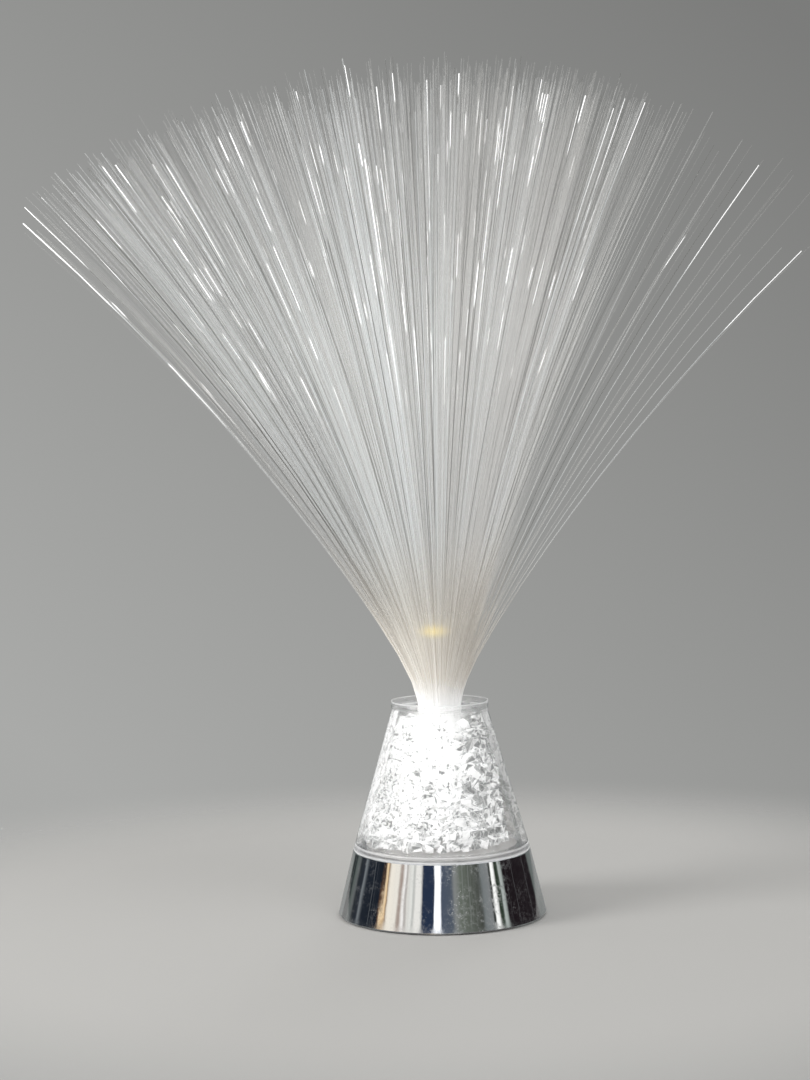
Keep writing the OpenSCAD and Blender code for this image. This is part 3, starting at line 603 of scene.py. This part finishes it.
def fan(name, count, seed, thick, share, drift_mm, finish, dim=1.0):
    """A fan of fibres on a sunflower pattern: each root stands one golden angle on from the last,
    at a distance that grows as the square root of its number. The lean at the tip grows with that
    distance, steadily on the full side and late on the sparse side, where only a few strays go on
    past the dense edge. Neighbours lean together into loose bunches, and some bands of lean, seen
    from the front, get a painted sheen, brighter than the rest, while fibres leaning right, away
    from the window light, get painted shade. share is how strongly the bunches pull."""
    golden, knot_count, knot_reach = 137.508, 150, 3.2          # degrees, bunches, degrees
    dense_edge, far_edge = 24, -39                              # degrees of lean along X
    pick = np.random.default_rng(seed)
    order = np.arange(count) + 0.5
    u = np.sqrt(order / count)
    turn = np.radians(golden) * order + pick.normal(0, 0.02, count)
    even = 0.75 - 0.25 * np.cos(turn)
    lean = WIDEST_LEAN * (even * u + (1 - even) * u ** 16)
    flat = np.stack([lean * np.cos(turn), lean * np.sin(turn)], 1)
    knots = flat[pick.choice(count, knot_count, replace=False)]
    gap = np.linalg.norm(flat[:, None] - knots[None], axis=2)
    near = gap.argmin(1)
    pull = share * np.exp(-(gap.min(1) / knot_reach) ** 2) * pick.uniform(0.3, 1.0, count)
    flat += pull[:, None] * (knots[near] - flat) + pick.normal(0, 0.4, (count, 2))
    lean = np.minimum(np.linalg.norm(flat, axis=1), WIDEST_LEAN)
    length = FIBRE_LENGTH * (1 - pick.uniform(0.002, 0.05, count))
    length *= 1 - 0.10 * pick.random(count) ** 6
    drift = pick.normal(0, drift_mm * 0.001, (count, 3)) * [1, 1, 0.3]
    # Each fibre's tone, partly painted sheen, shared in part with its bunch
    bright = pick.random(knot_count)[near] ** 2.2 * 0.75 + pick.random(count) ** 5 * 0.35
    bright = np.clip(bright, 0, 0.9)
    past = np.clip((flat[:, 0] - dense_edge) / 4, 0, 1)
    tilt = np.radians(lean)
    front = np.degrees(np.arctan2(np.sin(tilt) * flat[:, 0], np.cos(tilt) * np.hypot(*flat.T)))
    # Painted sheen: bright sheets 10 degrees apart on the sparse side, and a broad one on the full
    # side, by lean as seen from the front
    sheets = 1 + 0.55 * np.cos(np.radians(36 * (front - 10))) * (np.abs(front - 14) < 12)
    sheets += 0.8 * np.exp(-((front + 10.5) / 4.5) ** 2)
    # Painted shade: the sheen falls off towards the right, away from the window light; it is also
    # cut at the far left edge
    bright *= dim * (1 - 0.92 * past) * (1 - 0.35 * np.clip(flat[:, 0] / 16, 0, 1)) * sheets
    edge = np.clip((far_edge - flat[:, 0]) / 6, 0, 1)
    bright = np.minimum(bright * (1 - 0.7 * edge), 0.9)
    # A few fibres get full painted sheen
    bright[(pick.random(count) < 0.007) & (past == 0)] = dim
    keep = pick.random(count) > 0.80 * past + 0.55 * edge
    tip_turn = np.arctan2(flat[:, 1], flat[:, 0])
    return strands(name, (BUNDLE_R * 0.965 * u)[keep], turn[keep], tilt[keep], tip_turn[keep],
                   length[keep], drift[keep], thick, bright[keep], pick, finish)


def make_fibres():
    """The two fans, one of thicker and one of finer fibre, and the long strays at their sides."""
    finish = fibre_finish()
    fan("fibre_fan", 1600, 5, 0.00019, 0.55, 2.2, finish)
    fan("fibre_fan_fine", 1600, 23, 0.00012, 0.40, 3.0, finish, dim=0.7)
    # Each stray's way out of the neck and the lean of its chord, in degrees, and length in mm
    strays = np.array([(180, 40.4, 246), (178.5, 39.4, 246), (182, 37.4, 243), (1, 39.6, 219),
                       (2, 31.2, 237), (-1, 24.9, 246), (3, 34.5, 205), (178, 36.0, 240),
                       (-4, 37.5, 214), (-6, 28.5, 240)])
    turn, chord, length = (strays * [np.pi / 180, np.pi / 180, 0.001]).T
    many, shining, tip_share = len(strays), 5, 0.85     # the first five get a painted highlight near the tip
    strands("fibre_strays", np.full(many, BUNDLE_R * 0.95), turn, chord / tip_share, turn, length,
            np.zeros((many, 3)), 0.0002, np.where(np.arange(many) < shining, 0.97, 0.4),
            np.random.default_rng(41), finish, 16)


# ---------------------------------------------------------------- ice chips

def make_chips():
    """Broken chips in the clear cone. The ring between the tube and the wall is cut into layers,
    each layer into rings and each ring into blocks; each block's eight corners are pushed in at
    random, its six sides are split into crisp triangles, and slow waves stagger the layers."""
    pick = np.random.default_rng(9)
    low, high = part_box("crystals")
    levels = np.linspace(low.z, high.z, CHIP_LAYERS + 1)
    blocks = []
    for bottom, top in zip(levels, levels[1:]):
        width = wall_inside((bottom + top) / 2) - CHIP_HUB_R
        rings = max(1, round(width / CHIP_DEPTH))
        for ring in range(rings):
            radius = CHIP_HUB_R + width * (ring + 0.5) / rings
            count = round(2 * math.pi * radius / CHIP_WIDTH)
            first = np.arange(count) + pick.random()
            block = np.empty((count, 6))
            block[:, :4] = bottom, top, ring / rings, (ring + 1) / rings
            block[:, 4], block[:, 5] = first / count, (first + 1) / count
            blocks.append(block)
    block = np.concatenate(blocks)
    corner = np.array([(a, b, c) for a in (0, 1) for b in (0, 1) for c in (0, 1)])
    push = pick.uniform(0.0, CHIP_PUSH, (len(block), 8, 3))
    share = corner[None] * (1 - push) + (1 - corner[None]) * push
    lo, hi = block[:, None, 0::2], block[:, None, 1::2]
    z, across, turn = np.moveaxis(lo + (hi - lo) * share, 2, 0)
    turn = turn * 2 * np.pi
    free = np.sin(np.pi * (z - low.z) / (high.z - low.z))
    waves = np.sin(5 * turn + 3.1 * across + 300 * z) + np.sin(9 * turn - 170 * z + 1.0)
    z = z + 0.0011 * free * waves
    slump = np.clip((0.056 - z) / 0.028, 0, 1) * (0.0025 + 0.0020 * np.cos(turn))
    radius = CHIP_HUB_R + (wall_inside(z) - slump - CHIP_HUB_R) * across
    points = np.stack([radius * np.cos(turn), radius * np.sin(turn), z], 2)
    sides = np.array([(0, 1, 3), (0, 3, 2), (4, 6, 7), (4, 7, 5), (0, 4, 5), (0, 5, 1),
                      (2, 3, 7), (2, 7, 6), (0, 2, 6), (0, 6, 4), (1, 5, 7), (1, 7, 3)])
    tris = (sides[None] + 8 * np.arange(len(block))[:, None, None]).reshape(-1, 3)
    chips = piece("ice_chips", points.reshape(-1, 3), np.zeros((0, 4), int), ice_finish(),
                  smooth=False, tris=tris)
    # Painted light of each face: a share for its block and a share of its own, at random
    tone = np.repeat(pick.uniform(0.1, 1.0, len(block)), len(sides)) * 0.4
    tone = tone + pick.random(len(tris)) ** 0.7 * 0.6
    corners = np.tile(np.array([0, 0, 1, 0, 0, 1], np.float32), len(tris))
    chips.data.uv_layers.new(name="face_place").data.foreach_set("uv", corners)
    kept = chips.data.attributes.new("face_tone", "FLOAT", "FACE")
    kept.data.foreach_set("value", tone.astype(np.float32))
    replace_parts(chips, "crystals")


def wall_inside(z):
    """Radius that the chips may reach at height z: the cone's straight inner side, less a gap."""
    side = CONE_FOOT_R + (z - CONE_FOOT_Z) * (CONE_TOP_R - CONE_FOOT_R) / CONE_RISE
    return side - CHIP_CLEARANCE


# ---------------------------------------------------------------- the other pieces

def dress_solids():
    """Gives every carried-over solid the finish of what it is made of."""
    clear = clear_finish("clear moulding", 0.015)
    white = moulded_finish("white moulding", (0.86, 0.86, 0.85), 0.35)
    cone = clear_finish("clear cone moulding", 0.015, cone_edge)
    cap = clear_finish("clear cap moulding", 0.02, cap_edge)
    black = moulded_finish("black moulding", (0.018, 0.018, 0.020), 0.46, 1100.0, 0.00006)
    steel = metal_finish("zinc plated steel", (0.62, 0.62, 0.63), 0.30)
    nickel = metal_finish("nickel plated spring steel", (0.72, 0.70, 0.66), 0.26)
    cell = cell_finish()
    red_wire = moulded_finish("red insulation", (0.55, 0.02, 0.02), 0.4, 1400.0, 0.00002)
    black_wire = moulded_finish("black insulation", (0.02, 0.02, 0.02), 0.4, 1400.0, 0.00002)
    for node, finish in {
        "chrome_base": chrome_finish(), "clear_cone": cone, "top_cap": cap, "centre_tube": clear,
        # Painted shade: the white moulding of the chamber floor is given a grey colour, as if in
        # shade
        "chamber_floor": moulded_finish("floor moulding in painted shade", (0.56, 0.55, 0.54), 0.35),
        "fibre_ferrule": moulded_finish("sleeve moulding", (0.88, 0.88, 0.87), 0.4),
        "fibre_bundle": bundle_finish(), "led_holder": white, "led_board": board_finish(),
        "red_led": lens_finish("red lens", (0.9, 0.08, 0.06)),
        "green_led": lens_finish("green lens", (0.12, 0.8, 0.25)),
        "blue_led": lens_finish("blue lens", (0.08, 0.22, 0.9)),
        "control_chip": moulded_finish("chip casing", (0.02, 0.02, 0.022), 0.6, 1800.0, 0.00002),
        "resistors": resistor_finish(), "board_screws": steel, "plate_screws": steel,
        "bottom_plate": black, "battery_door": black, "battery_1": cell, "battery_2": cell,
        "battery_3": cell, "contact_springs": nickel, "contact_plates": nickel,
        "switch_body": steel,
        "switch_slider": moulded_finish("slider moulding", (0.03, 0.03, 0.032), 0.4, 1500.0,
                                        0.00003),
        "lead_red": red_wire, "lead_black": black_wire, "lead_switch": black_wire,
        "feet": moulded_finish("foot rubber", (0.035, 0.035, 0.035), 0.75, 700.0, 0.0001),
    }.items():
        dress(node, finish)


# ---------------------------------------------------------------- floor, room and lights

def make_floor():
    """A pale disc that fades out at its rim. Only what looks at it from above meets it, so the
    lamp's underside gets the room's light."""
    rings, turns, hole, reach = 12, 96, 0.0005, 0.34
    r, t = np.meshgrid(np.linspace(hole, reach, rings),
                       np.linspace(0, 2 * np.pi, turns, endpoint=False), indexing="ij")
    points = np.stack([r * np.cos(t), r * np.sin(t), r * 0], -1).reshape(-1, 3)
    index = np.arange(rings * turns).reshape(rings, turns)
    beside = np.roll(index, -1, 1)
    quads = np.stack([index[:-1], index[1:], beside[1:], beside[:-1]], -1)
    mesh = bpy.data.meshes.new("floor")
    mesh.from_pydata(points.tolist(), [], quads.reshape(-1, 4).tolist())
    floor = bpy.data.objects.new("floor", mesh)
    scene.collection.objects.link(floor)
    f = Finish("floor")
    x, y, _ = f.axes(f.place())
    ray = f.node("LightPath")
    seen = (f.value(ray, "Is Camera Ray") + f.value(ray, "Is Glossy Ray") * 0.4
            + f.value(ray, "Is Transmission Ray")).clamped()
    front = 1 - f.value(f.node("NewGeometry"), "Backfacing")
    fade = ((x * x + y * y) ** 0.5).step(reach * 0.98, reach * 0.5)
    matt = f.node("BsdfDiffuse", sockets={"Color": (0.50, 0.495, 0.485)})
    nothing = f.node("BsdfTransparent")
    mix = f.node("MixShader", sockets={
        0: seen * front * fade, 1: nothing.outputs[0], 2: matt.outputs[0]})
    f.node("OutputMaterial", sockets={0: mix.outputs[0]})
    mesh.materials.append(f.material)


# What a mirror on the lamp sees of the room: degrees, 0 towards the viewer and more to the right
ROOM_LEFT = [(-180, (0.20, 0.21, 0.21)), (-150, (0.22, 0.24, 0.23)), (-146, (0.03, 0.035, 0.035)),
             (-136, (0.03, 0.04, 0.04)), (-133, (0.12, 0.14, 0.13)), (-125, (0.12, 0.13, 0.13)),
             (-122, (0.025, 0.03, 0.035)), (-113, (0.025, 0.03, 0.04)), (-111, (0.22, 0.24, 0.25)),
             (-105, (0.016, 0.021, 0.030)), (-78, (0.012, 0.016, 0.024)),
             (-75.5, (0.16, 0.08, 0.04)),
             (-74, (1.05, 0.84, 0.56)), (-72, (0.95, 0.68, 0.38)), (-70, (0.22, 0.13, 0.08)),
             (-67, (1.00, 0.93, 0.80)), (-55, (0.95, 0.90, 0.80)), (-53, (0.43, 0.35, 0.30)),
             (-49.5, (0.43, 0.35, 0.30)), (-49, (1.0, 0.97, 0.92)), (-46, (1.0, 0.97, 0.92)),
             (-44.5, (0.32, 0.28, 0.26)), (-42.5, (0.80, 0.78, 0.72)), (-36, (0.90, 0.90, 0.84)),
             (-34.5, (0.34, 0.35, 0.33)), (-33, (0.94, 0.92, 0.86)), (-26, (0.92, 0.90, 0.84)),
             (-24, (0.022, 0.035, 0.070)), (-11, (0.022, 0.035, 0.070)), (-10, (1.35, 1.37, 1.40)),
             (-3, (1.35, 1.37, 1.40)), (-1.5, (0.08, 0.10, 0.14))]
ROOM_RIGHT = [(0, (0.08, 0.10, 0.14)), (11, (0.09, 0.11, 0.14)), (15, (0.26, 0.27, 0.26)),
              (22, (0.15, 0.17, 0.14)), (46, (0.06, 0.065, 0.055)), (50, (0.20, 0.22, 0.22)),
              (59, (0.24, 0.25, 0.25)), (60.5, (0.03, 0.035, 0.03)), (62, (0.03, 0.035, 0.03)),
              (63, (1.2, 1.2, 1.15)), (67, (1.1, 1.1, 1.05)), (68.5, (0.03, 0.045, 0.03)),
              (73, (0.03, 0.045, 0.03)), (74, (0.50, 0.54, 0.51)), (78, (0.40, 0.44, 0.41)),
              (80, (0.014, 0.010, 0.012)), (134, (0.016, 0.012, 0.014)), (138, (0.14, 0.16, 0.15)),
              (180, (0.20, 0.21, 0.21))]


def make_room():
    """Even pale light all round; behind the lamp a plain grey that darkens to the upper right; and
    for what the plating and the clear walls reflect, a room of bright and dark upright bands, with
    finer upright lines over them and a pale ceiling above."""
    even_light, line_colour, ceiling = (0.62, 0.62, 0.61), (0.50, 0.52, 0.52), (0.75, 0.76, 0.76)
    folded = 0.295                                  # the compass share where the bands wave most
    scene.world = bpy.data.worlds.new("room")
    scene.world.use_nodes = True
    f = Finish("room", scene.world.node_tree)
    way = f.node("TexCoord").outputs["Generated"]
    x, y, z = f.axes(way)
    compass = x.maths("ARCTAN2", x, -1 * y) / (2 * math.pi) + 0.5
    folds = f.noise(f.stretched(way, (0.5, 0.5, 9.0)), 3.0, 3.0, 0.6) - 0.5
    compass = compass + folds * 0.055 * abs(compass - folded).step(0.03, 0.012)
    left, right = (
        f.node("ValToRGB", {"stops": [((turn + 180) / 360, colour) for turn, colour in side]},
               {0: compass}).outputs[0] for side in (ROOM_LEFT, ROOM_RIGHT))
    bands = f.blend(compass > 0.5, left, right)
    lines = f.noise(f.join(compass * 150.0, z * 0.6, 7.0), 1.0, 2.0)
    bands = f.blend(lines.step(0.58, 0.66) * 0.18, bands, line_colour)
    bands = f.blend(z.step(0.62, 0.95), bands, ceiling)
    ray = f.node("LightPath")
    behind = (f.value(ray, "Is Camera Ray") + f.value(ray, "Is Transmission Ray")).clamped()
    colour = f.blend(f.value(ray, "Is Glossy Ray"), even_light, bands)
    shade = ((x * -0.30 + z * -0.35).most(-0.10) + 0.30).least(0.40)
    wall = f.node("CombineColor", sockets={0: shade, 1: shade * 1.008, 2: shade * 0.985}).outputs[0]
    light = f.node("Background", sockets={0: f.blend(behind, colour, wall), 1: 1.0})
    f.node("OutputWorld", sockets={0: light.outputs[0]})


def make_light(name, place, aim, size, power, colour=(1, 1, 1)):
    """A soft round light of this width and power, turned to shine on aim."""
    light = bpy.data.lights.new(name, "AREA")
    light.shape, light.size, light.energy, light.color = "DISK", size, power, colour
    made = bpy.data.objects.new(name, light)
    made.location = place
    made.rotation_euler = (Vector(aim) - Vector(place)).to_track_quat("-Z", "Y").to_euler()
    scene.collection.objects.link(made)


make_fibres()
make_chips()
dress_solids()
make_floor()
make_room()
make_light("window light", (-0.95, -0.45, 0.75), (0, 0, 0.14), 0.55, 7.2, (1.0, 0.99, 0.97))
make_light("fill light", (0.5, -0.6, 1.2), (0, 0, 0.14), 0.7, 2.6)
make_light("back light", (0.3, 1.1, 0.8), (0, 0, 0.16), 0.6, 2.5)
scene.view_settings.view_transform = "Standard"
scene.cycles.transparent_max_bounces = 96       # so that light passes all the layers of the fan

bpy.context.view_layer.update()
